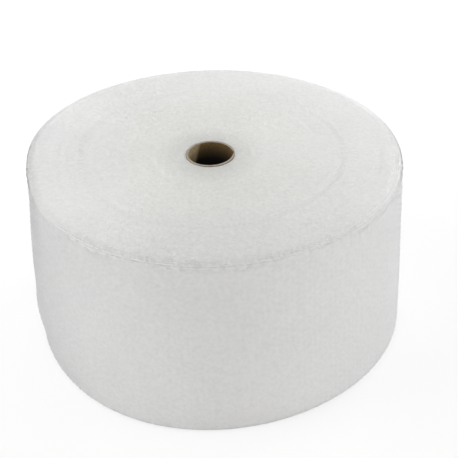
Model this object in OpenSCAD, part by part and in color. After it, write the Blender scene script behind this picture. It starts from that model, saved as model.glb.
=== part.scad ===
// Roll of small-bubble film wound on a cardboard core, standing on its end.
// The cut edges of the turns are ridges on both ends. The outermost turn carries the columns of
// bubbles and is a true spiral: two half turns about two centres, half a turn's thickness apart,
// so that the film ends in a step one turn thick.

/* [Film] */
// Width of the film, which is the height of the roll on its end
film_w = 300; // [100:10:600]
// Turns of film wound on the core
turns = 94; // [70:1:110]
// Thickness that one turn takes up in the roll
turn_t = 2.75; // [2.2:0.05:5]
// Width of the flat crest along the cut edge of each turn
crest_w = 0.9; // [0.4:0.1:1.6]
// Depth of the groove between the cut edges of neighbouring turns
groove_d = 2; // [1:0.25:5]

/* [Rim] */
// Outer turns whose edges sink step by step, which rounds the rim at the top
rim_turns = 6; // [2:1:12]
// How far the outermost turn's edge has sunk below the top end
rim_drop = 8; // [3:0.5:16]
// How far the outermost turn's lower edge hangs clear of the floor
hem_lift = 3; // [1:0.5:8]
// Turn that has crept up out of the top end, counted from the core
crept_turn = 61; // [10:1:64]
// How far that turn has crept
creep = 0.6; // [0.2:0.1:3]

/* [Bubbles] */
// Spacing of the columns of bubbles round the roll
column_pitch = 9.4; // [6:0.1:20]
// Height that a column of bubbles stands out of the outermost turn
column_h = 1.8; // [0.5:0.1:2.2]

/* [Tail] */
// Direction in which the film's outer end lies, seen from above and counted from the right side
tail_angle = 105; // [0:5:355]

/* [Core] */
// Bore of the cardboard core
core_bore_d = 70; // [40:1:80]
// Wall of the cardboard core
core_wall = 3.3; // [2:0.1:10]
// Gap between the core and the first turn of film
core_gap = 0.25; // [0.1:0.05:0.5]
// How far the core stands out of the top end
core_proud = 1; // [0.5:0.5:10]

/* [Hidden] */
$fn = 180;

// The core reaches from the floor to a little above the film
core_w = film_w + core_proud;
// Radius at which the first turn starts, and the shift between the spiral's two centres
wound_r = core_bore_d / 2 + core_wall + core_gap;
half_t = turn_t / 2;

// The outermost turn carries the columns of bubbles, and the turns under it are plain
inner_turns = turns - 1;
half_columns = round(PI * (turn_r(turns) + half_t / 2) / column_pitch);
// Where the flat top of a column starts and ends, as shares of the columns' spacing
shoulders = [0.2, 0.8];

function turn_r(k) = wound_r + k * turn_t;

// The film stands flat on the floor. At the top a turn near the outside has sunk, and a crept turn
// and its neighbours have moved up as a whole
function sink(k) = rim_drop * pow(max(0, k - (inner_turns - rim_turns)) / rim_turns, 2);
function crept(k) = creep * max(0, 1 - abs(k - crept_turn) / 2);
function crest_top(k) = film_w - sink(k) + crept(k);
function crest_bottom(k) = crept(k);
function groove_top(k) = min(crest_top(max(k - 1, 0)), crest_top(min(k, inner_turns - 1))) - groove_d;
function groove_bottom(k) = max(crest_bottom(max(k - 1, 0)), crest_bottom(min(k, inner_turns - 1))) + groove_d;

// Section through the inner turns: out along the bottom end and back along the top
function inner_section() = [
    for (k = [0:inner_turns - 1])
        each [
            [turn_r(k), groove_bottom(k)],
            [turn_r(k) + (turn_t - crest_w) / 2, crest_bottom(k)],
            [turn_r(k) + (turn_t + crest_w) / 2, crest_bottom(k)]
        ],
    [turn_r(inner_turns), groove_bottom(inner_turns)],
    [turn_r(inner_turns), groove_top(inner_turns)],
    for (k = [inner_turns - 1:-1:0])
        each [
            [turn_r(k) + (turn_t + crest_w) / 2, crest_top(k)],
            [turn_r(k) + (turn_t - crest_w) / 2, crest_top(k)],
            [turn_r(k), groove_top(k)]
        ]
];

// A point of the outermost turn's outline: half 0 or 1, angle from the tail, and depth below the crests
function lap_point(half, angle, depth) =
    let (r = turn_r(turns) + half * half_t - depth)
    [half * half_t + r * cos(angle), r * sin(angle)];

function lap_outline() = [
    for (half = [0, 1])
        for (i = [0:half_columns - 1])
            let (start = 180 * half, step = 180 / half_columns)
            each [
                lap_point(half, start + i * step, column_h),
                lap_point(half, start + (i + shoulders[0]) * step, 0),
                lap_point(half, start + (i + shoulders[1]) * step, 0)
            ],
    lap_point(1, 360, column_h)
];

module inner_turns_body() {
    rotate_extrude()
        polygon(inner_section());
}

// The outermost turn reaches halfway into the turn under it
module outer_lap() {
    translate([0, 0, hem_lift])
        linear_extrude(height = film_w - rim_drop - hem_lift)
            difference() {
                polygon(lap_outline());
                circle(r = turn_r(inner_turns) - half_t);
            }
}

module bubble_film() {
    color("gainsboro")
        rotate([0, 0, tail_angle])
            union() {
                inner_turns_body();
                outer_lap();
            }
}

module cardboard_core() {
    color("tan")
        difference() {
            cylinder(h = core_w, d = core_bore_d + 2 * core_wall);
            translate([0, 0, -1])
                cylinder(h = core_w + 2, d = core_bore_d);
        }
}

bubble_film();
cardboard_core();
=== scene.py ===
"""Bubble wrap roll: the visible film, core and finishes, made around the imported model.

The film is made the way the real one is. Its parts are shaped flat, as a strip that runs along
+X with its bubbles towards +Y and its width along +Z, and are then wound on the core in one
even spiral. Handling has pushed the finished roll a little out of round.
"""

import logging
import math
from dataclasses import dataclass
from enum import Enum
from typing import Callable

import bmesh
import bpy
import numpy as np
from mathutils import Matrix, Vector

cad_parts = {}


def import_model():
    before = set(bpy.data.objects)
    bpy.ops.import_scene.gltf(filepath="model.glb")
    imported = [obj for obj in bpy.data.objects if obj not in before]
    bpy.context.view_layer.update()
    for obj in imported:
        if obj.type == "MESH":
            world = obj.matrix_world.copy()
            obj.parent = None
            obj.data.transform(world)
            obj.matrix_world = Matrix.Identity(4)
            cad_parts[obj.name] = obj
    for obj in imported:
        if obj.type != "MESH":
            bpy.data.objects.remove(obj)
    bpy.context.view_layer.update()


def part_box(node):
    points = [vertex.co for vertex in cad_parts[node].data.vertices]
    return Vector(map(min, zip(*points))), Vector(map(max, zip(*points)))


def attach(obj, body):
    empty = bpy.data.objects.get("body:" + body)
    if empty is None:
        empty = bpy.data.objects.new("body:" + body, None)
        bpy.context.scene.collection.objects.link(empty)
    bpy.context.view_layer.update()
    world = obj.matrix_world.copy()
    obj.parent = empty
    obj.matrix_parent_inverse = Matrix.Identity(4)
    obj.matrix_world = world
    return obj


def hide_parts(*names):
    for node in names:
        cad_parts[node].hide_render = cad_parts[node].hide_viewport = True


LOG = logging.getLogger("bubble_wrap_roll")
BODY = "root"
FILM_NODE = "bubble_film"
CORE_NODE = "cardboard_core"
MM = 0.001

# The same sizes as in the part's source
TURN_THICKNESS = 2.75 * MM
CORE_GAP = 0.25 * MM
FILM_WIDTH = 300 * MM
BORE_RADIUS = 35 * MM
TAIL_ANGLE = math.radians(105)

# Vertices nearer than this are one, where copies meet and where a spun section closes
COPY_WELD = 0.02 * MM
SPIN_WELD = 0.01 * MM
# Faces that meet at less than this are shaded as one surface
SMOOTH_ANGLE = math.radians(40)
# The range that most of a noise pattern lies in
NOISE_RANGE = (0.3, 0.7)
# Steps of the sine series behind the values that look random
SCATTER_STEP = 12.9898
SCATTER_SEED_STEP = 78.233
SCATTER_SCALE = 43758.5453


class End(Enum):
    """The two ends of the roll."""

    TOP = "top"
    BOTTOM = "bottom"


class Stretch(Enum):
    """Stretches of the outermost turn, by the columns of bubbles before and after them.

    They meet at the roll's left and right, so that the front is one piece.
    """

    FIRST = (0, 52)
    MIDDLE = (52, 136)
    LAST = (136, 200)


class Seed(Enum):
    """Series of values that look random, one for each use."""

    CRUSH = 1.0
    RAGGED = 2.0
    SQUASH = 3.0
    CUT_PLACE = 5.0


def scattered(number: np.ndarray, seed: Seed) -> np.ndarray:
    """Gives each whole number a fixed value between 0 and 1 that looks random."""
    wave = np.sin(number * SCATTER_STEP + seed.value * SCATTER_SEED_STEP) * SCATTER_SCALE
    return wave - np.floor(wave)


def deselect() -> None:
    """Leaves object mode with nothing selected."""
    if bpy.context.object and bpy.context.object.mode != "OBJECT":
        bpy.ops.object.mode_set(mode="OBJECT")
    bpy.ops.object.select_all(action="DESELECT")


def pick(piece: bpy.types.Object) -> None:
    """Makes a piece the only selected and the active one.

    Args:
        piece: The object to pick.
    """
    deselect()
    piece.select_set(True)
    bpy.context.view_layer.objects.active = piece


def named(name: str) -> bpy.types.Object:
    """Names the primitive that was just added, and its mesh.

    Args:
        name: The piece's name.

    Returns:
        The object.
    """
    piece = bpy.context.object
    piece.name = name
    piece.data.name = name
    return piece


def applied(piece: bpy.types.Object) -> None:
    """Applies all of a piece's modifiers, and leaves it picked.

    Args:
        piece: The object.
    """
    pick(piece)
    for modifier in list(piece.modifiers):
        bpy.ops.object.modifier_apply(modifier=modifier.name)


def corners(piece: bpy.types.Object) -> np.ndarray:
    """Reads a piece's vertices.

    Args:
        piece: The object.

    Returns:
        One row of x, y and z for each vertex.
    """
    flat = np.zeros(len(piece.data.vertices) * 3, np.float32)
    piece.data.vertices.foreach_get("co", flat)
    return flat.reshape(-1, 3).astype(float)


def reshaped(piece: bpy.types.Object, rows: np.ndarray) -> None:
    """Moves a piece's vertices to new rows of x, y and z."""
    piece.data.vertices.foreach_set("co", rows.astype(np.float32).ravel())
    piece.data.update()


def select_faces(piece: bpy.types.Object, wanted: Callable[[bmesh.types.BMFace], bool]) -> None:
    """Selects faces in edit mode by a rule.

    Args:
        piece: The object, which is in edit mode.
        wanted: Says whether a face is selected.
    """
    bpy.ops.mesh.select_mode(type="FACE")
    bpy.ops.mesh.select_all(action="DESELECT")
    mesh = bmesh.from_edit_mesh(piece.data)
    for face in mesh.faces:
        face.select = wanted(face)
    mesh.select_flush_mode()
    bmesh.update_edit_mesh(piece.data)


def repeated(
    piece: bpy.types.Object, count: int, step: tuple[float, float, float], weld: bool = False
) -> None:
    """Repeats a piece along a line with an applied Array modifier.

    Args:
        piece: The object that is repeated.
        count: How many there are in the end.
        step: The way from one to the next.
        weld: Whether neighbours share their touching vertices.
    """
    array = piece.modifiers.new("repeat", "ARRAY")
    array.fit_type = "FIXED_COUNT"
    array.count = count
    array.use_relative_offset = False
    array.use_constant_offset = True
    array.constant_offset_displace = step
    array.use_merge_vertices = weld
    array.merge_threshold = COPY_WELD
    applied(piece)


def turned_ring(
    name: str, section: list[tuple[float, float]], segments: int
) -> bpy.types.Object:
    """Spins a closed section round the roll's axis.

    Args:
        name: The piece's name.
        section: Radii and heights round the section.
        segments: How many steps the full circle has.

    Returns:
        The piece.
    """
    deselect()
    bpy.ops.mesh.primitive_circle_add(vertices=len(section), radius=1)
    piece = named(name)
    reshaped(piece, np.array([(radius, 0, height) for radius, height in section]))
    bpy.ops.object.mode_set(mode="EDIT")
    bpy.ops.mesh.select_all(action="SELECT")
    bpy.ops.mesh.spin(
        steps=segments, angle=2 * math.pi, center=(0, 0, 0), axis=(0, 0, 1), use_auto_merge=True
    )
    bpy.ops.mesh.select_all(action="SELECT")
    bpy.ops.mesh.remove_doubles(threshold=SPIN_WELD)
    bpy.ops.mesh.normals_make_consistent(inside=False)
    bpy.ops.object.mode_set(mode="OBJECT")
    return piece


def dressed(piece: bpy.types.Object, finish: bpy.types.Material, node: str) -> bpy.types.Object:
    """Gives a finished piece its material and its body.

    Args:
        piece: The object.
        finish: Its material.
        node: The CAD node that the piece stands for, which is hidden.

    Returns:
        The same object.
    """
    piece.data.materials.clear()
    piece.data.materials.append(finish)
    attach(piece, BODY)
    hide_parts(node)
    return piece


@dataclass(frozen=True)
class Swell:
    """A soft bulge in the roll's side or, with a negative amount, a hollow.

    The angle and the spread round the roll are in degrees, and the rest are lengths.
    """

    amount: float
    angle: float
    height: float
    spread: float
    rise: float

    def push(self, angle: np.ndarray, height: np.ndarray) -> np.ndarray:
        """Says how far the swell moves the film outwards.

        Args:
            angle: Angles round the roll, in radians.
            height: Heights.

        Returns:
            Distances.
        """
        gap = (np.degrees(angle) - self.angle + 180) % 360 - 180
        lift = (height - self.height) / self.rise
        return self.amount * np.exp(-0.5 * (gap / self.spread) ** 2 - 0.5 * lift**2)


# What handling has done, in this order: a bulge and a hollow at the upper left, a small bump and a
# hollow under them near the foot, a fuller foot on the front and the right, and a flatter back
SWELLS = (
    Swell(9 * MM, 153, 300 * MM, 28, 140 * MM),
    Swell(-11 * MM, 188, 280 * MM, 17, 70 * MM),
    Swell(4 * MM, 190, 58 * MM, 16, 18 * MM),
    Swell(-6 * MM, 205, 0, 28, 50 * MM),
    Swell(9 * MM, 245, 0, 28, 100 * MM),
    Swell(7 * MM, 270, 0, 42, 65 * MM),
    Swell(5 * MM, -15, 50 * MM, 28, 120 * MM),
    Swell(-3 * MM, 80, 300 * MM, 30, 200 * MM),
)


@dataclass(frozen=True)
class Handling:
    """How handling has pushed the roll out of round, from nothing at the core outwards."""

    core_radius: float
    outer_radius: float
    swells: tuple[Swell, ...] = SWELLS
    drift: tuple[float, float] = (2.5 * MM, 4.5 * MM)
    most_share: float = 1.1
    firmness: float = 1.5

    def pressed(self, rows: np.ndarray) -> np.ndarray:
        """Moves points of the round roll to where handling has left them.

        Args:
            rows: Rows of x, y and z.

        Returns:
            The moved rows.
        """
        radius = np.hypot(rows[:, 0], rows[:, 1])
        angle = np.arctan2(rows[:, 1], rows[:, 0])
        share = (radius - self.core_radius) / (self.outer_radius - self.core_radius)
        share = np.clip(share, 0, self.most_share)
        push = sum(swell.push(angle, rows[:, 2]) for swell in self.swells) * share**self.firmness
        moved = rows.copy()
        moved[:, 0] = (radius + push) * np.cos(angle) + self.drift[0] * share
        moved[:, 1] = (radius + push) * np.sin(angle) + self.drift[1] * share
        return moved


@dataclass(frozen=True)
class Winding:
    """How the film lies on its core: one strip in an even spiral.

    Its waves are the pace and the start of the sine waves in which the turns are out of line.
    """

    start_radius: float
    turns: int
    handling: Handling
    turn_thickness: float = TURN_THICKNESS
    width: float = FILM_WIDTH
    tail_angle: float = TAIL_ANGLE
    rim_turns: float = 6.0
    rim_drop: float = 8.0 * MM
    crept_turn: float = 61.0
    crept_spread: float = 1.6
    creep: float = 0.3 * MM
    telescope: float = 0.2 * MM
    waves: tuple[tuple[float, float], ...] = ((5.1, 0.0), (2.3, 1.0), (0.83, 2.0))

    @property
    def length(self) -> float:
        """Length of the film on the roll."""
        return self.along(self.turns)

    @property
    def last_turn_start(self) -> float:
        """Distance along the film at which the outermost turn starts."""
        return self.along(self.turns - 1)

    def along(self, turn: float) -> float:
        """Measures the film wound up to a number of turns, from 0 at the core."""
        radius = self.start_radius + self.turn_thickness * turn
        return math.pi * (radius**2 - self.start_radius**2) / self.turn_thickness

    def turn_at(self, along: np.ndarray) -> np.ndarray:
        """Counts the turns wound up to a distance along the film."""
        reach = self.start_radius**2 + self.turn_thickness * along / math.pi
        return (np.sqrt(np.maximum(reach, 0)) - self.start_radius) / self.turn_thickness

    def sink(self, turn: np.ndarray) -> np.ndarray:
        """Says how far a turn's edge lies below the top end, which rounds the rim."""
        share = (turn - (self.turns - 1 - self.rim_turns)) / self.rim_turns
        return self.rim_drop * np.clip(share, 0, 1) ** 2

    def shift(self, turn: np.ndarray) -> np.ndarray:
        """Says how far a turn has crept up or down out of line with its neighbours.

        Args:
            turn: Turns, from 0 at the core.

        Returns:
            Heights.
        """
        gap = np.abs(turn - self.crept_turn - 0.5)
        crept = self.creep * np.maximum(0, 1 - gap / self.crept_spread)
        waves = sum(np.sin(turn * pace + start) for pace, start in self.waves)
        return crept + self.telescope * waves / len(self.waves)

    def wound(self, flat: np.ndarray) -> np.ndarray:
        """Winds flat film on the core.

        Args:
            flat: Rows of distance along the film, distance out of it and height.

        Returns:
            Rows of x, y and z in the roll.
        """
        turn = self.turn_at(flat[:, 0])
        radius = self.start_radius + self.turn_thickness * turn + flat[:, 1]
        angle = self.tail_angle + 2 * math.pi * (turn - self.turns)
        rows = np.stack([radius * np.cos(angle), radius * np.sin(angle), flat[:, 2]], axis=1)
        return self.handling.pressed(rows)


def roll_up(piece: bpy.types.Object, winding: Winding, mirrored: bool = False) -> None:
    """Winds a flat piece on the roll, and flips its faces, which winding turns inside out.

    Args:
        piece: The object.
        winding: How it lies on the core.
        mirrored: Whether the flat piece is inside out already, so that it needs no flip.
    """
    reshaped(piece, winding.wound(corners(piece)))
    if mirrored:
        return
    pick(piece)
    bpy.ops.object.mode_set(mode="EDIT")
    bpy.ops.mesh.select_all(action="SELECT")
    bpy.ops.mesh.flip_normals()
    bpy.ops.object.mode_set(mode="OBJECT")


def softened(piece: bpy.types.Object, share: float) -> None:
    """Leans a piece's shading towards the roll's side, so that its low relief looks soft.

    Args:
        piece: The wound piece.
        share: How far its normals lean, from 0 for not at all to 1 for straight out.
    """
    pick(piece)
    bpy.ops.object.shade_smooth()
    mesh = piece.data
    flat = np.zeros(len(mesh.vertices) * 3, np.float32)
    mesh.vertex_normals.foreach_get("vector", flat)
    out = corners(piece) * (1, 1, 0)
    out /= np.linalg.norm(out, axis=1)[:, None]
    leaning = flat.reshape(-1, 3) * (1 - share) + out * share
    leaning /= np.linalg.norm(leaning, axis=1)[:, None]
    mesh.normals_split_custom_set_from_vertices(leaning.tolist())


class NodePatch:
    """A node tree, with short calls for the nodes that the finishes and the studio share."""

    def __init__(self, owner: bpy.types.Material | bpy.types.World, place: str = "Object") -> None:
        """Takes up the node tree of a new material or world.

        Args:
            owner: The material or world.
            place: The coordinates that its patterns and ramps read.
        """
        owner.use_nodes = True
        self.nodes = owner.node_tree.nodes
        self.links = owner.node_tree.links
        self.place = self.nodes.new("ShaderNodeTexCoord").outputs[place]

    def noise(self, scale: float, detail: float) -> bpy.types.NodeSocket:
        """Adds a noise pattern that is fixed to the piece.

        Args:
            scale: How fine it is.
            detail: How many finer layers it has.

        Returns:
            Its value.
        """
        pattern = self.nodes.new("ShaderNodeTexNoise")
        pattern.inputs["Scale"].default_value = scale
        pattern.inputs["Detail"].default_value = detail
        self.links.new(self.place, pattern.inputs["Vector"])
        return pattern.outputs["Fac"]

    def ranged(
        self, value: bpy.types.NodeSocket, start: tuple[float, float], end: tuple[float, float]
    ) -> bpy.types.NodeSocket:
        """Maps one range of values to another, and holds what lies outside at its ends.

        Args:
            value: The value.
            start: The range it has.
            end: The range it gets.

        Returns:
            The new value.
        """
        ramp = self.nodes.new("ShaderNodeMapRange")
        ramp.inputs["From Min"].default_value, ramp.inputs["From Max"].default_value = start
        ramp.inputs["To Min"].default_value, ramp.inputs["To Max"].default_value = end
        self.links.new(value, ramp.inputs["Value"])
        return ramp.outputs["Result"]

    def times(self, *factors: bpy.types.NodeSocket) -> bpy.types.NodeSocket:
        """Multiplies values.

        Args:
            factors: Two values or more.

        Returns:
            The product.
        """
        so_far = factors[0]
        for factor in factors[1:]:
            product = self.nodes.new("ShaderNodeMath")
            product.operation = "MULTIPLY"
            self.links.new(so_far, product.inputs[0])
            self.links.new(factor, product.inputs[1])
            so_far = product.outputs[0]
        return so_far

    def scaled(
        self, colour: bpy.types.NodeSocket, scale: bpy.types.NodeSocket
    ) -> bpy.types.NodeSocket:
        """Makes a colour brighter or darker.

        Args:
            colour: The colour.
            scale: The factor.

        Returns:
            The new colour.
        """
        tint = self.nodes.new("ShaderNodeVectorMath")
        tint.operation = "SCALE"
        self.links.new(colour, tint.inputs[0])
        self.links.new(scale, tint.inputs["Scale"])
        return tint.outputs[0]

    def blended(
        self,
        first: tuple[float, ...] | bpy.types.NodeSocket,
        second: tuple[float, ...],
        share: bpy.types.NodeSocket,
    ) -> bpy.types.NodeSocket:
        """Blends two colours.

        Args:
            first: The colour at a share of 0, or the socket that gives it.
            second: The colour at a share of 1.
            share: The share.

        Returns:
            The colour.
        """
        blend = self.nodes.new("ShaderNodeMix")
        blend.data_type = "RGBA"
        if isinstance(first, tuple):
            blend.inputs["A"].default_value = (*first, 1)
        else:
            self.links.new(first, blend.inputs["A"])
        blend.inputs["B"].default_value = (*second, 1)
        self.links.new(share, blend.inputs["Factor"])
        return blend.outputs["Result"]

    def camera_blend(
        self, lit: bpy.types.NodeSocket, shown: bpy.types.NodeSocket | float
    ) -> bpy.types.NodeSocket:
        """Gives the camera another value than the light.

        Args:
            lit: The value for the light.
            shown: The value for the camera, or the socket that gives it.

        Returns:
            The value.
        """
        blend = self.nodes.new("ShaderNodeMix")
        self.links.new(self.camera_ray(), blend.inputs["Factor"])
        self.links.new(lit, blend.inputs["A"])
        if isinstance(shown, float):
            blend.inputs["B"].default_value = shown
        else:
            self.links.new(shown, blend.inputs["B"])
        return blend.outputs["Result"]

    def camera_ray(self) -> bpy.types.NodeSocket:
        """Says whether it is the camera that looks."""
        return self.nodes.new("ShaderNodeLightPath").outputs["Is Camera Ray"]

    def distance_from_axis(self) -> bpy.types.NodeSocket:
        """Measures the distance from the roll's axis.

        Returns:
            The distance.
        """
        level = self.nodes.new("ShaderNodeVectorMath")
        level.operation = "MULTIPLY"
        level.inputs[1].default_value = (1, 1, 0)
        self.links.new(self.place, level.inputs[0])
        length = self.nodes.new("ShaderNodeVectorMath")
        length.operation = "LENGTH"
        self.links.new(level.outputs[0], length.inputs[0])
        return length.outputs["Value"]

    def axis(self, name: str) -> bpy.types.NodeSocket:
        """Reads one coordinate of the place.

        Args:
            name: X, Y or Z.

        Returns:
            The coordinate.
        """
        split = self.nodes.new("ShaderNodeSeparateXYZ")
        self.links.new(self.place, split.inputs[0])
        return split.outputs[name]


@dataclass(frozen=True)
class FilmFinish:
    """Milky, slightly glossy polyethylene film, as it looks in many layers.

    Each shade is a share of light taken out of the colour, and the high front shade is painted
    shade.
    Their reaches are where they come in: from the core or the axis outwards, or along Y or Z.
    """

    name: str
    core_radius: float
    colour: tuple[float, float, float] = (0.945, 0.945, 0.943)
    heart: tuple[float, float, float] = (0.945, 0.948, 0.933)
    heart_reach: tuple[float, float] = (140 * MM, 250 * MM)
    roughness: float = 0.38
    mottle: float = 0.01
    mottle_scale: float = 9.0
    mottle_detail: float = 3.0
    speckle: float = 0.035
    speckle_scale: float = 170.0
    speckle_detail: float = 2.0
    through: float = 0.3
    rim_through: float = 0.45
    rim_shade: float = 0.0
    rim_reach: tuple[float, float] = (272 * MM, 282 * MM)
    bleed: float = 0.0
    bleed_reach: float = 12 * MM
    core_shade: float = 0.08
    core_reach: float = 45 * MM
    inner_shade: float = 0.045
    inner_reach: float = 230 * MM
    front_shade: float = 0.0
    front_reach: tuple[float, float] = (-290 * MM, -140 * MM)
    front_rim_reach: tuple[float, float] = (-150 * MM, -20 * MM)
    # Painted shade on the front, darker higher up, which leaves the lower front lighter as if lit
    # by the floor
    front_high_shade: float = 0.0
    front_high_reach: tuple[float, float] = (30 * MM, 230 * MM)

    def grain(self, patch: NodePatch) -> bpy.types.NodeSocket:
        """Makes the film uneven, with wide soft patches and fine specks.

        Args:
            patch: The node tree.

        Returns:
            How bright each place is, about 1.
        """
        patches = patch.noise(self.mottle_scale, self.mottle_detail)
        specks = patch.noise(self.speckle_scale, self.speckle_detail)
        return patch.times(
            patch.ranged(patches, NOISE_RANGE, (1 - self.mottle, 1 + self.mottle)),
            patch.ranged(specks, NOISE_RANGE, (1 - self.speckle, 1 + self.speckle)),
        )

    def shade(self, patch: NodePatch, radius: bpy.types.NodeSocket) -> bpy.types.NodeSocket:
        """Darkens the film near the core, and on the front by itself, at the rim and high up, the
        last as painted shade.

        Args:
            patch: The node tree.
            radius: The distance from the roll's axis.

        Returns:
            How bright each place is, 1 where it isn't darkened.
        """
        depth = patch.axis("Y")
        start = self.core_radius
        front = patch.ranged(depth, self.front_rim_reach, (1, 0))
        at_rim = patch.times(patch.ranged(radius, self.rim_reach, (0, 1)), front)
        # Painted shade, darker higher up on the front
        high_up = patch.times(patch.ranged(patch.axis("Z"), self.front_high_reach, (0, 1)), front)
        return patch.times(
            patch.ranged(radius, (start, start + self.core_reach), (1 - self.core_shade, 1)),
            patch.ranged(radius, (start, start + self.inner_reach), (1 - self.inner_shade, 1)),
            patch.ranged(depth, self.front_reach, (1 - self.front_shade, 1)),
            patch.ranged(at_rim, (0, 1), (1, 1 - self.rim_shade)),
            patch.ranged(high_up, (0, 1), (1, 1 - self.front_high_shade)),
        )

    def material(self) -> bpy.types.Material:
        """Builds the material.

        Returns:
            The material.
        """
        material = bpy.data.materials.new(self.name)
        patch = NodePatch(material)
        shader = patch.nodes["Principled BSDF"]
        radius = patch.distance_from_axis()
        outwards = patch.ranged(radius, self.heart_reach, (0, 1))
        even = patch.blended(self.heart, self.colour, outwards)
        tint = patch.scaled(even, patch.times(self.grain(patch), self.shade(patch, radius)))
        patch.links.new(tint, shader.inputs["Base Color"])
        shader.inputs["Roughness"].default_value = self.roughness
        shader.subsurface_method = "BURLEY"
        shader.inputs["Subsurface Weight"].default_value = self.bleed
        shader.inputs["Subsurface Radius"].default_value = (1, 1, 1)
        shader.inputs["Subsurface Scale"].default_value = self.bleed_reach
        lit_through = patch.nodes.new("ShaderNodeBsdfTranslucent")
        patch.links.new(tint, lit_through.inputs["Color"])
        mix = patch.nodes.new("ShaderNodeMixShader")
        by_rim = patch.ranged(radius, self.rim_reach, (self.through, self.rim_through))
        patch.links.new(by_rim, mix.inputs["Fac"])
        patch.links.new(shader.outputs[0], mix.inputs[1])
        patch.links.new(lit_through.outputs[0], mix.inputs[2])
        patch.links.new(mix.outputs[0], patch.nodes["Material Output"].inputs["Surface"])
        return material


@dataclass(frozen=True)
class CardboardFinish:
    """Brown kraft board with a paler cut rim, painted shade that turns it near black deeper in the
    bore, and a painted pool of light on one side of the wall.
    """

    rim_height: float
    name: str = "kraft_board"
    board: tuple[float, float, float] = (0.16, 0.10, 0.03)
    # Painted shade: the board turns near black this far down the bore
    bore_shade_colour: tuple[float, float, float] = (0.004, 0.002, 0.001)
    bore_shade_reach: float = 30 * MM
    # Painted light: a pale pool of light on one side of the wall, its edge a painted shadow edge
    painted_light_colour: tuple[float, float, float] = (0.32, 0.245, 0.14)
    painted_light_edge: tuple[float, float] = (-102 * MM, -97 * MM)
    painted_light_slant: float = -0.28
    cut_rim: tuple[float, float, float] = (0.33, 0.285, 0.235)
    rim_depth: float = 0.8 * MM
    fibre: float = 0.22
    fibre_scale: float = 260.0
    fibre_detail: float = 4.0
    roughness: float = 0.85

    def painted_light_share(self, patch: NodePatch) -> bpy.types.NodeSocket:
        """Marks the painted pool of light on one side of the wall, whose painted shadow edge runs
        at a slant.

        Args:
            patch: The node tree.

        Returns:
            The share of the scuffed colour.
        """
        slant = patch.nodes.new("ShaderNodeMath")
        slant.operation = "MULTIPLY_ADD"
        slant.inputs[1].default_value = self.painted_light_slant
        patch.links.new(patch.axis("Z"), slant.inputs[0])
        patch.links.new(patch.axis("X"), slant.inputs[2])
        return patch.ranged(slant.outputs[0], self.painted_light_edge, (1, 0))

    def material(self) -> bpy.types.Material:
        """Builds the material.

        Returns:
            The material.
        """
        material = bpy.data.materials.new(self.name)
        patch = NodePatch(material)
        shader = patch.nodes["Principled BSDF"]
        height = patch.axis("Z")
        rim = self.rim_height
        # Painted shade, near black deeper in the bore
        depth = patch.ranged(height, (rim - self.bore_shade_reach, rim), (1, 0))
        inside = patch.blended(self.board, self.bore_shade_colour, depth)
        # Painted pool of light on one side of the wall
        wall = patch.blended(inside, self.painted_light_colour, self.painted_light_share(patch))
        at_rim = patch.ranged(height, (rim - self.rim_depth, rim - self.rim_depth / 2), (0, 1))
        fibres = patch.noise(self.fibre_scale, self.fibre_detail)
        grain = patch.ranged(fibres, NOISE_RANGE, (1 - self.fibre, 1 + self.fibre))
        tint = patch.scaled(patch.blended(wall, self.cut_rim, at_rim), grain)
        patch.links.new(tint, shader.inputs["Base Color"])
        shader.inputs["Roughness"].default_value = self.roughness
        return material


@dataclass(frozen=True)
class BubblePattern:
    """The bubbles' size and their close-packed columns, which run along the roll's axis."""

    diameter: float = 10.0 * MM
    crown: float = 7.0 * MM
    pitch: float = 10.8 * MM
    height: float = 1.8 * MM
    squash: float = 0.3

    @property
    def column_spacing(self) -> float:
        """Distance between neighbouring columns."""
        return self.pitch * math.sqrt(3) / 2


@dataclass
class WoundBody:
    """The mass of film behind the cut edges, a closed ring that rounds off at the top rim."""

    winding: Winding
    film: bpy.types.Material
    behind: float = 1.0 * MM
    behind_rim: float = 1.4 * MM
    inside: float = 0.6 * MM
    rim_spots: int = 7
    spot_step: int = 6
    side_steps: int = 12
    segments: int = 192

    def section(self) -> list[tuple[float, float]]:
        """Traces the ring's section, from the core out along the top and back underneath.

        Returns:
            Radii and heights.
        """
        winding = self.winding
        last = winding.turns - 1
        level = np.arange(0, last - self.rim_spots, self.spot_step)
        rounded = np.arange(last - self.rim_spots, last + 0.5)
        spots = np.unique(np.concatenate([level, rounded]))
        radii = winding.start_radius + winding.turn_thickness * spots
        radii[-1] -= self.inside
        rim_share = winding.sink(spots) / winding.rim_drop
        behind = self.behind + (self.behind_rim - self.behind) * np.sqrt(rim_share)
        heights = winding.width - winding.sink(spots) - behind
        down = np.linspace(heights[-1], self.behind, self.side_steps)[1:]
        top = [(float(r), float(z)) for r, z in zip(radii, heights)]
        side = [(radii[-1], float(z)) for z in down]
        under = [(float(r), self.behind) for r in radii[-2::-1]]
        bore = [(radii[0], winding.width / 2)]
        return top + side + under + bore

    def build(self) -> list[bpy.types.Object]:
        """Makes the ring by spinning its section, lets its side follow the spiral, and dresses it.

        Returns:
            The piece.
        """
        winding = self.winding
        piece = turned_ring("wound_body", self.section(), self.segments)
        rows = corners(piece)
        radius = np.hypot(rows[:, 0], rows[:, 1])
        angle = np.arctan2(rows[:, 1], rows[:, 0])
        passed = (angle - winding.tail_angle) / (2 * math.pi) % 1
        outer = radius > winding.start_radius + winding.turn_thickness * (winding.turns - 1.5)
        rows[:, :2] *= 1 + (outer * passed * winding.turn_thickness / radius)[:, None]
        reshaped(piece, winding.handling.pressed(rows))
        bpy.ops.object.shade_smooth_by_angle(angle=SMOOTH_ANGLE)
        return [dressed(piece, self.film, FILM_NODE)]


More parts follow.
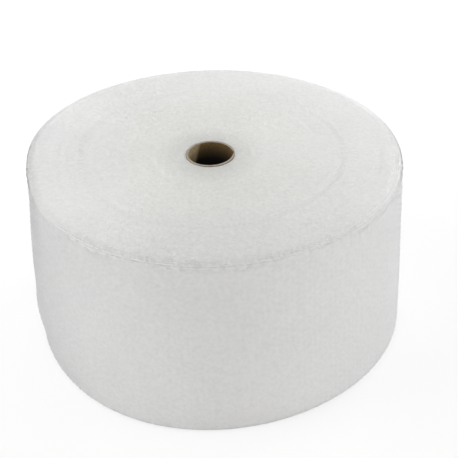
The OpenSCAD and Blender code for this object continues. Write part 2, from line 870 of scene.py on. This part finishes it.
@dataclass
class RollEnd:
    """The cut edges of all the turns at one end of the roll.

    Each bubble is cut open at its own place, first_cut and up to cut_wander more of the pitch. The
    opening is at least least_chord wide and least_crush high, as shares of a whole bubble, and a
    higher fullness makes it squarer.
    """

    end: End
    winding: Winding
    pattern: BubblePattern
    film: bpy.types.Material
    depth: float = 3.2 * MM
    web_thickness: float = 0.25 * MM
    web_pieces_a_turn: int = 110
    points_a_column: int = 6
    ragged: float = 0.5 * MM
    first_cut: float = 0.25
    cut_wander: float = 0.4
    least_chord: float = 0.25
    fullness: int = 3
    least_crush: float = 0.55

    def level(self, along: np.ndarray) -> np.ndarray:
        """Height of the film's edge.

        Args:
            along: Distances along the film.

        Returns:
            Heights.
        """
        turn = self.winding.turn_at(along)
        if self.end is End.TOP:
            return self.winding.width - self.winding.sink(turn) + self.winding.shift(turn)
        return np.zeros_like(along)

    def wind(self, piece: bpy.types.Object) -> None:
        """Lays a flat edge strip at its height and winds it.

        Args:
            piece: The strip, whose height runs from 0 at the cut edge to 1 inside the roll.
        """
        flat = corners(piece)
        inward = -1 if self.end is End.TOP else 1
        flat[:, 2] = self.level(flat[:, 0]) + inward * self.depth * flat[:, 2]
        reshaped(piece, flat)
        roll_up(piece, self.winding, mirrored=self.end is End.TOP)

    def web(self) -> bpy.types.Object:
        """Makes the cut edge of the flat web, a thin closed band on edge.

        Returns:
            The piece.
        """
        length = self.winding.last_turn_start
        pieces = int(self.web_pieces_a_turn * self.winding.turns)
        deselect()
        bpy.ops.mesh.primitive_cube_add(size=1)
        piece = named(f"{self.end.value}_web_edges")
        rows = corners(piece) + 0.5
        rows[:, 0] *= length / pieces
        rows[:, 1] *= self.web_thickness
        reshaped(piece, rows)
        bpy.ops.object.mode_set(mode="EDIT")
        select_faces(piece, lambda face: abs(face.normal.x) > 0.5)
        bpy.ops.mesh.delete(type="ONLY_FACE")
        bpy.ops.object.mode_set(mode="OBJECT")
        repeated(piece, pieces, (length / pieces, 0, 0), weld=True)
        self.wind(piece)
        return piece

    def bulge(self, along: np.ndarray) -> np.ndarray:
        """Says how far the cut bubble layer stands out of the web.

        The cut opens each bubble at another place, and winding has crushed each one differently.

        Args:
            along: Distances along the film.

        Returns:
            Distances out of the web.
        """
        spacing, pitch = self.pattern.column_spacing, self.pattern.pitch
        column = np.floor(along / spacing)
        across = (along / spacing - column) * 2 - 1
        cut = self.first_cut + self.cut_wander * scattered(column, Seed.CUT_PLACE)
        offset = np.abs((cut + column / 2 + 0.5) % 1 - 0.5) * pitch
        radius = self.pattern.diameter / 2
        half_chord = np.sqrt(np.maximum(radius**2 - offset**2, 0)) / (spacing / 2)
        chord_share = np.abs(across / np.maximum(half_chord, self.least_chord))
        shape = np.sqrt(np.clip(1 - chord_share**self.fullness, 0, 1))
        crush = self.least_crush + (1 - self.least_crush) * scattered(column, Seed.CRUSH)
        return self.web_thickness + (self.pattern.height - self.web_thickness) * shape * crush

    def bubble_edge(self) -> bpy.types.Object:
        """Makes the cut edge of the bubble layer, which bulges out at each opened bubble.

        Returns:
            The piece.
        """
        spacing = self.pattern.column_spacing
        columns = int(self.winding.last_turn_start / spacing)
        points = self.points_a_column
        deselect()
        bpy.ops.mesh.primitive_grid_add(x_subdivisions=points, y_subdivisions=1, size=1)
        piece = named(f"{self.end.value}_bubble_edges")
        rows = corners(piece)
        rows[:, 2] = 0.5 - rows[:, 1]
        rows[:, 0] = (rows[:, 0] + 0.5) * spacing
        rows[:, 1] = 0
        reshaped(piece, rows)
        repeated(piece, columns, (spacing, 0, 0), weld=True)
        rows = corners(piece)
        rows[:, 1] = self.bulge(rows[:, 0])
        spot = np.round(rows[:, 0] / spacing * points)
        worn = self.ragged / self.depth * scattered(spot, Seed.RAGGED)
        rows[:, 2] = np.where(rows[:, 2] < 0.5, worn, 1)
        reshaped(piece, rows)
        bpy.ops.object.shade_smooth()
        self.wind(piece)
        return piece

    def build(self) -> list[bpy.types.Object]:
        """Makes and dresses the end's two pieces."""
        return [dressed(piece, self.film, FILM_NODE) for piece in (self.web(), self.bubble_edge())]


@dataclass
class OuterTurn:
    """The outermost turn: the flat web and its rows of bubbles."""

    winding: Winding
    pattern: BubblePattern
    web_film: bpy.types.Material
    bubble_film: bpy.types.Material
    web_thickness: float = 0.2 * MM
    web_grid: tuple[int, int] = (200, 28)
    foot: float = 3.0 * MM
    overlap: float = 12 * MM
    shoulder: float = 1.2 * MM
    sides: int = 12
    columns: int = 200
    numbers_a_column: int = 37
    softness: float = 0.88

    @property
    def reach(self) -> tuple[float, float]:
        """Where the turn starts, tucked under the tail, and where it ends."""
        return self.winding.last_turn_start - self.overlap, self.winding.length

    @property
    def rise(self) -> tuple[float, float]:
        """The turn's lower and upper edge."""
        return self.foot, self.winding.width - self.winding.rim_drop

    def bubble(self, along: float, up: float) -> bpy.types.Object:
        """Makes one bubble: a low round cushion with a sloping side and a rounded shoulder.

        Args:
            along: Its centre along the film.
            up: Its centre's height.

        Returns:
            The object.
        """
        deselect()
        height = self.pattern.height
        bpy.ops.mesh.primitive_cone_add(
            vertices=self.sides,
            radius1=self.pattern.diameter / 2,
            radius2=self.pattern.crown / 2,
            depth=height,
            location=(along, height / 2, up),
            rotation=(-math.pi / 2, 0, 0),
        )
        piece = named("bubble")
        bpy.ops.object.transform_apply(location=True, rotation=True, scale=True)
        bpy.ops.object.mode_set(mode="EDIT")
        select_faces(piece, lambda face: face.normal.y > 0.9)
        bpy.ops.mesh.bevel(offset=self.shoulder, segments=1, affect="EDGES")
        bpy.ops.object.mode_set(mode="OBJECT")
        return piece

    def bubbles(self, stretch: Stretch) -> bpy.types.Object:
        """Makes the bubbles of a stretch of the outermost turn.

        Args:
            stretch: Which stretch.

        Returns:
            The piece.
        """
        pitch = self.pattern.pitch
        low, high = self.rise
        before, after = stretch.value
        last_turn = self.winding.turns - 1
        first = self.winding.along(last_turn + before / self.columns)
        last = self.winding.along(last_turn + after / self.columns)
        spacing = (last - first) / (after - before)
        top_centre = high - pitch / 2
        even = self.bubble(first + spacing / 2, top_centre)
        odd = self.bubble(first + spacing * 3 / 2, top_centre - pitch / 2)
        deselect()
        odd.select_set(True)
        even.select_set(True)
        bpy.context.view_layer.objects.active = even
        bpy.ops.object.join()
        piece = named(f"outer_bubbles_{stretch.name.lower()}")
        repeated(piece, math.ceil((high - low) / pitch), (0, 0, -pitch))
        repeated(piece, (after - before) // 2, (2 * spacing, 0, 0))
        rows = corners(piece)
        column = np.floor((rows[:, 0] - first) / spacing)
        row = np.round((rows[:, 2] - column % 2 * pitch / 2) / pitch)
        number = column * self.numbers_a_column + row
        rows[:, 1] *= 1 - self.pattern.squash * scattered(number, Seed.SQUASH)
        reshaped(piece, rows)
        pick(piece)
        bpy.ops.object.mode_set(mode="EDIT")
        bpy.ops.mesh.select_all(action="SELECT")
        bpy.ops.mesh.bisect(
            plane_co=(0, 0, low), plane_no=(0, 0, -1), use_fill=True, clear_outer=True
        )
        bpy.ops.object.mode_set(mode="OBJECT")
        roll_up(piece, self.winding)
        softened(piece, self.softness)
        return piece

    def web(self) -> bpy.types.Object:
        """Makes the flat web that the bubbles stand on, as a thin closed sheet.

        Returns:
            The piece.
        """
        start, end = self.reach
        low, high = self.rise
        across, upwards = self.web_grid
        deselect()
        bpy.ops.mesh.primitive_grid_add(x_subdivisions=across, y_subdivisions=upwards, size=1)
        piece = named("outer_web")
        rows = corners(piece) + 0.5
        along = start + rows[:, 0] * (end - start)
        up = low + rows[:, 1] * (high - low)
        reshaped(piece, np.stack([along, np.zeros(len(rows)), up], axis=1))
        roll_up(piece, self.winding)
        thick = piece.modifiers.new("thickness", "SOLIDIFY")
        thick.thickness = self.web_thickness
        thick.offset = 0
        applied(piece)
        bpy.ops.object.shade_smooth_by_angle(angle=SMOOTH_ANGLE)
        return piece

    def build(self) -> list[bpy.types.Object]:
        """Makes and dresses the web and its bubbles.

        Returns:
            The pieces.
        """
        pieces = [dressed(self.web(), self.web_film, FILM_NODE)]
        for stretch in Stretch:
            pieces.append(dressed(self.bubbles(stretch), self.bubble_film, FILM_NODE))
        return pieces


@dataclass
class CoreTube:
    """The cardboard core, with its mouth pinched to a corner on the right."""

    outer_radius: float
    width: float
    board: bpy.types.Material
    bore_radius: float = BORE_RADIUS
    edge: float = 0.4 * MM
    steps_down: tuple[float, ...] = (60 * MM, 40 * MM, 25 * MM, 12 * MM, 5 * MM)
    pinch_angle: float = 2.0
    pinch_spread: float = 26.0
    pinch: float = 2.0 * MM
    pinch_depth: float = 22 * MM
    segments: int = 144

    def section(self) -> list[tuple[float, float]]:
        """Traces the wall's section, up the outside and down the bore.

        Returns:
            Radii and heights.
        """
        outer, bore, top, edge = self.outer_radius, self.bore_radius, self.width, self.edge
        levels = [0.5 * top] + [top - step for step in self.steps_down]
        outside = [(outer - edge, 0.0), (outer, edge)] + [(outer, z) for z in levels]
        rim = [(outer, top - edge), (outer - edge, top), (bore + edge, top), (bore, top - edge)]
        inside = [(bore, z) for z in reversed(levels)] + [(bore, edge), (bore + edge, 0.0)]
        return outside + rim + inside

    def pinched(self, rows: np.ndarray) -> np.ndarray:
        """Presses the mouth's inner edge outwards at its corner.

        Args:
            rows: Rows of x, y and z.

        Returns:
            The moved rows.
        """
        radius = np.hypot(rows[:, 0], rows[:, 1])
        angle = np.arctan2(rows[:, 1], rows[:, 0])
        gap = np.abs((np.degrees(angle) - self.pinch_angle + 180) % 360 - 180)
        near = np.clip(1 - gap / self.pinch_spread, 0, 1) ** 2
        wall = self.outer_radius - self.bore_radius
        inner = np.clip((self.outer_radius - radius) / wall, 0, 1)
        push = self.pinch * near * inner * np.exp(-(self.width - rows[:, 2]) / self.pinch_depth)
        moved = rows.copy()
        moved[:, 0] = (radius + push) * np.cos(angle)
        moved[:, 1] = (radius + push) * np.sin(angle)
        return moved

    def build(self) -> list[bpy.types.Object]:
        """Makes the tube by spinning its wall, and dresses it.

        Returns:
            The piece.
        """
        piece = turned_ring("core_tube", self.section(), self.segments)
        reshaped(piece, self.pinched(corners(piece)))
        bpy.ops.object.shade_smooth_by_angle(angle=SMOOTH_ANGLE)
        return [dressed(piece, self.board, CORE_NODE)]


@dataclass(frozen=True)
class Lamp:
    """A square lamp, with its power in watts."""

    name: str
    place: tuple[float, float, float]
    side: float
    power: float

    def hang(self, aim: tuple[float, float, float]) -> None:
        """Adds the lamp.

        Args:
            aim: The point that it faces.
        """
        deselect()
        bpy.ops.object.light_add(type="AREA", location=self.place)
        lamp = bpy.context.object
        lamp.name = self.name
        lamp.data.size = self.side
        lamp.data.energy = self.power
        way = Vector(aim) - Vector(self.place)
        lamp.rotation_euler = way.to_track_quat("-Z", "Y").to_euler()


LAMPS = (
    Lamp("right_light", (2.54, 0.0, 1.12), 1.6, 16.0),
    Lamp("right_back_light", (1.79, 1.79, 1.12), 1.6, 31.0),
    Lamp("back_light", (0.0, 2.54, 1.12), 1.6, 12.0),
    Lamp("left_light", (-1.74, 0.0, 2.27), 1.6, 18.0),
    Lamp("left_back_light", (-1.79, 1.79, 1.12), 1.6, 8.0),
    Lamp("right_front_light", (2.51, -0.91, 0.58), 1.4, 11.0),
    Lamp("left_front_light", (-2.51, -0.91, 0.58), 1.4, 14.0),
)


@dataclass
class Studio:
    """Pale floor, soft light and the camera at the photograph's angle.

    The floor's light changes along Y, and its look to the camera along X, where it dims on the
    right as a painted shadow, over their reaches.
    """

    focal_length: float = 94.4
    sensor_width: float = 36.0
    camera_place: tuple[float, float, float] = (0.0, -1.613, 1.2698)
    aim: tuple[float, float, float] = (0.0257, 0.0, 0.1558)
    roll_degrees: float = -1.75
    floor_size: float = 30.0
    floor_roughness: float = 0.9
    floor_colour: float = 0.20
    seen_floor: float = 0.35
    floor_light: float = 0.09
    front_floor_light: float = 0.30
    front_floor_reach: tuple[float, float] = (-0.5, -0.1)
    floor_glow: float = 0.66
    # Painted shadow: the floor glows less to the camera on the right of the roll
    right_shadow_glow: float = 0.61
    right_shadow_reach: tuple[float, float] = (0.1, 0.45)
    sky: float = 0.42
    front_sky: float = 0.905
    front_colour: tuple[float, float, float] = (1.0, 0.985, 0.96)
    lamp_aim: tuple[float, float, float] = (0.0, 0.0, 0.2)
    lamps: tuple[Lamp, ...] = LAMPS

    def camera(self) -> None:
        """Adds the camera and makes it the scene's."""
        deselect()
        bpy.ops.object.camera_add(location=self.camera_place)
        camera = bpy.context.object
        camera.name = "photo_camera"
        camera.data.lens = self.focal_length
        camera.data.sensor_width = self.sensor_width
        way = Vector(self.aim) - Vector(self.camera_place)
        turn = way.to_track_quat("-Z", "Y").to_matrix()
        roll = Matrix.Rotation(math.radians(self.roll_degrees), 3, "Z")
        camera.rotation_euler = (turn @ roll).to_euler()
        bpy.context.scene.camera = camera

    def floor(self) -> None:
        """Adds the floor, which shows near white to the camera and keeps the roll's shadow."""
        deselect()
        bpy.ops.mesh.primitive_plane_add(size=self.floor_size)
        floor = named("floor")
        material = bpy.data.materials.new("studio_floor")
        patch = NodePatch(material)
        shader = patch.nodes["Principled BSDF"]
        shader.inputs["Roughness"].default_value = self.floor_roughness
        shader.inputs["Specular IOR Level"].default_value = 0.0
        shader.inputs["Emission Color"].default_value = (1, 1, 1, 1)
        greys = (self.floor_colour,) * 3, (self.seen_floor,) * 3
        patch.links.new(patch.blended(*greys, patch.camera_ray()), shader.inputs["Base Color"])
        light = (self.front_floor_light, self.floor_light)
        lit = patch.ranged(patch.axis("Y"), self.front_floor_reach, light)
        # Painted shadow, a dimmer floor to the camera on the right
        glow = (self.floor_glow, self.right_shadow_glow)
        shown = patch.ranged(patch.axis("X"), self.right_shadow_reach, glow)
        patch.links.new(patch.camera_blend(lit, shown), shader.inputs["Emission Strength"])
        floor.data.materials.append(material)

    def world(self) -> None:
        """Lights the scene softly, most from the front, and shows white to the camera."""
        world = bpy.data.worlds.new("studio_world")
        bpy.context.scene.world = world
        patch = NodePatch(world, place="Generated")
        background = patch.nodes["Background"]
        forward = patch.ranged(patch.axis("Y"), (-1, 0), (1, 0))
        squared = patch.times(forward, forward)
        colour = patch.blended((1, 1, 1), self.front_colour, squared)
        patch.links.new(colour, background.inputs["Color"])
        lit = patch.ranged(squared, (0, 1), (self.sky, self.sky + self.front_sky))
        patch.links.new(patch.camera_blend(lit, 1.0), background.inputs["Strength"])

    def build(self) -> None:
        """Sets up the whole studio."""
        self.camera()
        self.floor()
        self.world()
        for lamp in self.lamps:
            lamp.hang(self.lamp_aim)
        bpy.context.scene.view_settings.view_transform = "Standard"


def main() -> None:
    """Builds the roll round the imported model."""
    logging.basicConfig(level=logging.INFO, format="%(message)s")
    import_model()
    film_low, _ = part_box(FILM_NODE)
    _, core_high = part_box(CORE_NODE)
    start = core_high.x + CORE_GAP
    turns = round((-film_low.x - start) / TURN_THICKNESS)
    winding = Winding(start, turns, Handling(core_radius=start, outer_radius=-film_low.x))
    LOG.info("film: %d turns, %.1f m", winding.turns, winding.length)
    grey = (0.935, 0.935, 0.933)
    # The side films carry painted shade, darker higher up on the front
    side_film = FilmFinish("side_film", start, colour=grey, rim_through=0.0, front_high_shade=0.035)
    bubble_skin = FilmFinish(
        "bubble_skin", start, colour=grey, rim_through=0.1, bleed=1.0, front_high_shade=0.035
    )
    end_film = FilmFinish("end_film", start, front_shade=0.05).material()
    packed_film = FilmFinish(
        "packed_film", start, through=0.0, rim_through=0.0, rim_shade=0.04, front_shade=0.05
    )
    board = CardboardFinish(rim_height=core_high.z)
    pattern = BubblePattern()
    parts = (
        WoundBody(winding, packed_film.material()),
        RollEnd(End.TOP, winding, pattern, end_film),
        RollEnd(End.BOTTOM, winding, pattern, end_film),
        OuterTurn(winding, pattern, side_film.material(), bubble_skin.material()),
        CoreTube(core_high.x, core_high.z, board.material()),
    )
    for part in parts:
        for piece in part.build():
            LOG.info("%s: %d faces", piece.name, len(piece.data.polygons))
    Studio().build()


if __name__ == "__main__":
    main()
